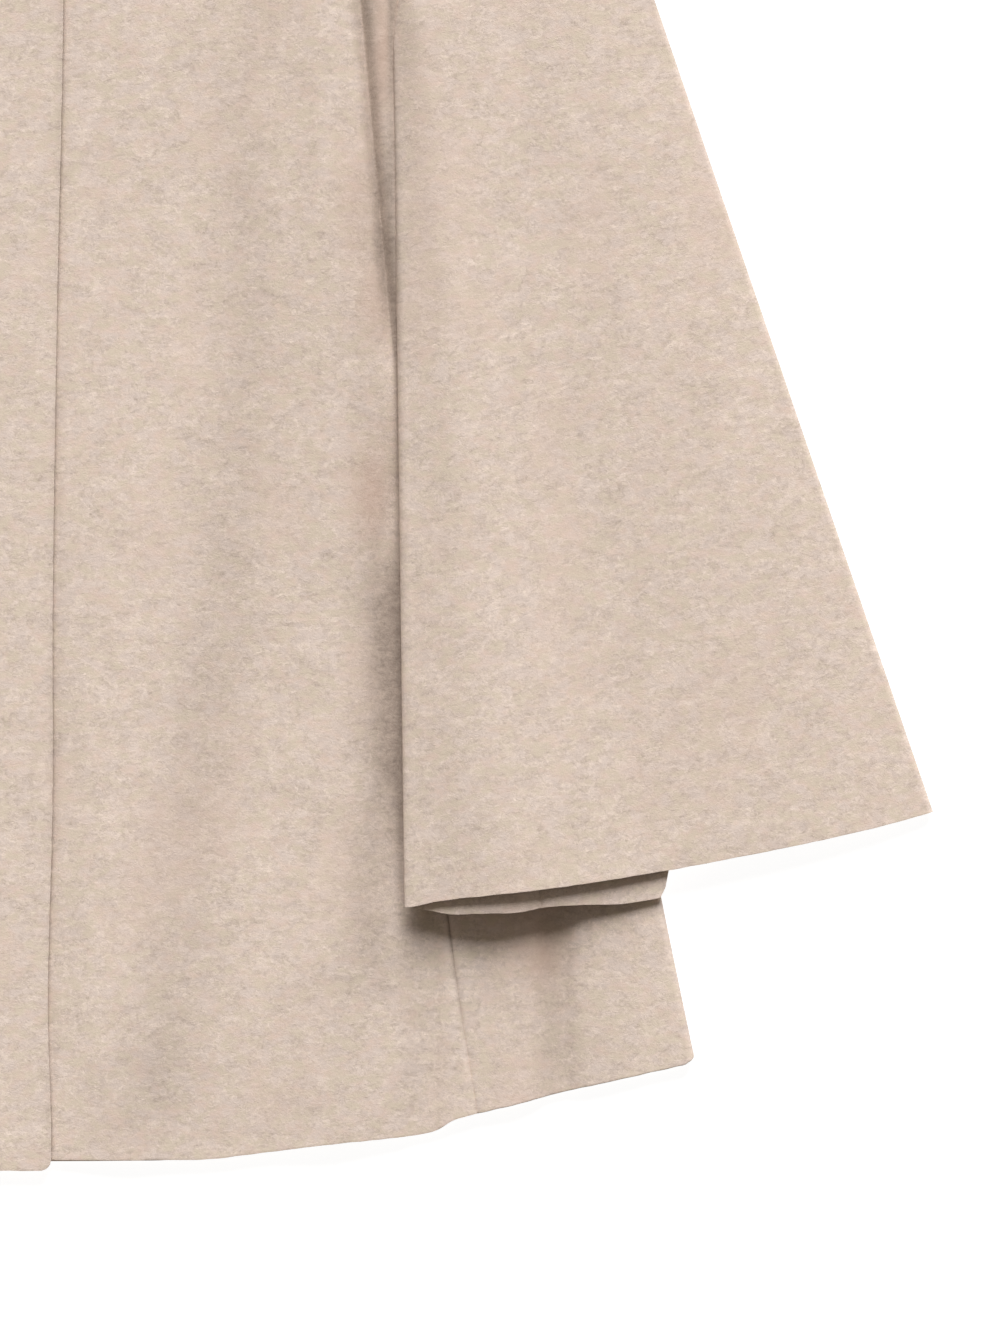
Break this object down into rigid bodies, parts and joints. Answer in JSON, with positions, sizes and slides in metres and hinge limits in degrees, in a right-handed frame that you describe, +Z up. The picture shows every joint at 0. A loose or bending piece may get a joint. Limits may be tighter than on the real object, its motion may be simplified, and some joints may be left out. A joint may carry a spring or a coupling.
{
  "type": "collarless wool jacket laid flat",
  "caption": "Hip-length flared wool jacket laid flat on its back, with a round neck, a covered overlapping front and wide bell sleeves lying over its sides.",
  "frame": {"origin": "on the surface that it lies on, under the middle of the laid-out jacket", "axes": "+Z up from the surface, +Y from the hem to the neck, +X to the wearer's left"},
  "size_m": [0.8574, 0.7667, 0.0261],
  "materials": {
    "wool": "matt brushed melange wool, oatmeal"
  },
  "bodies": {
    "root": {"back": "wool", "front_left": "wool", "front_right": "wool", "side_left": "wool", "side_right": "wool", "sleeve_left": "wool", "sleeve_right": "wool"}
  },
  "joints": []
}
